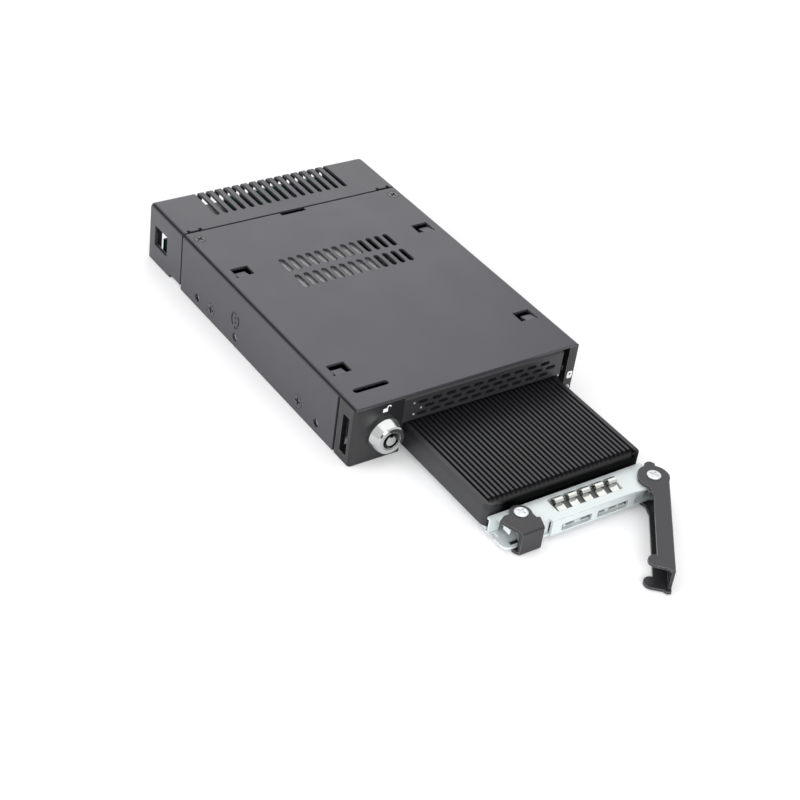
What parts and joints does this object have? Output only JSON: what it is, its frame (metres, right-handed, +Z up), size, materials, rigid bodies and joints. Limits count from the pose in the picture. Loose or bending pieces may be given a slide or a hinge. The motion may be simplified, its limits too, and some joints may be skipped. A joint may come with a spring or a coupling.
{
  "type": "solid state drive mobile rack",
  "caption": "Locking drive bay rack with a tray part way out, its eject lever open and a finned drive on it.",
  "frame": {"origin": "middle of the underside of the case", "axes": "+X to the right seen from the front, +Y to the rear, +Z up"},
  "size_m": [0.1016, 0.2607, 0.0254],
  "materials": {
    "painted_sheet": "satin powder coat",
    "tray_zinc": "zinc plated sheet",
    "bezel_plastic": "fine texture",
    "panel_plastic": "fine texture",
    "light_pipe": "translucent",
    "lock_metal": "bright plated",
    "plain_steel": "zinc plated",
    "spring_steel": "bright spring strip",
    "guide_plastic": "moulded",
    "drive_body": "black painted",
    "drive_black": "black anodised",
    "port_black": "moulded",
    "board_green": "solder mask",
    "chip_black": "moulded",
    "lever_steel": "satin coat",
    "brass_post": "turned",
    "screw_black": "black zinc"
  },
  "bodies": {
    "cage": {"cage_cover": "painted_sheet", "cage_base": "tray_zinc", "rear_cover": "painted_sheet", "front_bezel": "bezel_plastic", "vent_panel": "panel_plastic", "light_pipes": "light_pipe", "lock_body": "lock_metal", "lock_nut": "plain_steel", "guide_left": "guide_plastic", "guide_right": "guide_plastic", "bay_shield": "tray_zinc", "backplane_board": "board_green", "drive_socket": "port_black", "rear_board": "board_green", "riser_board": "board_green", "board_posts": "brass_post", "board_screws": "plain_steel", "data_port": "port_black", "power_port": "port_black", "cover_screws": "screw_black", "side_screws": "screw_black"},
    "tray": {"tray_pan": "tray_zinc", "fascia_insert": "tray_zinc", "shield_spring": "spring_steel", "light_block": "guide_plastic", "drive_case": "drive_body", "drive_lid": "drive_black", "drive_plug": "port_black", "drive_board": "board_green", "memory_chips": "chip_black", "drive_screws": "plain_steel", "lever_rivet": "plain_steel", "latch_rivet": "plain_steel", "lever_spring": "spring_steel", "latch_spring": "spring_steel"},
    "lever": {"eject_lever": "lever_steel"},
    "latch": {"latch": "lever_steel"},
    "lock_core": {"lock_plug": "lock_metal", "lock_cam": "plain_steel", "cam_screw": "plain_steel"}
  },
  "joints": [
    {"name": "tray_slide", "type": "slide", "parent": "cage", "child": "tray", "axis": [0, 1, 0], "range_m": [-0.034, 0.0655]},
    {"name": "lever_hinge", "type": "hinge", "parent": "tray", "child": "lever", "pos_m": [0.0399, -0.1387, 0.005], "axis": [0, 0, 1], "range_deg": [-51.5, 8], "stiffness_Nm_per_rad": 0.002},
    {"name": "latch_hinge", "type": "hinge", "parent": "tray", "child": "latch", "pos_m": [-0.017, -0.134, 0.005], "axis": [0, 0, 1], "range_deg": [-8, 0], "stiffness_Nm_per_rad": 0.002},
    {"name": "lock_turn", "type": "hinge", "parent": "cage", "child": "lock_core", "pos_m": [-0.037, -0.0775, 0.011], "axis": [0, 1, 0], "range_deg": [0, 90]}
  ]
}
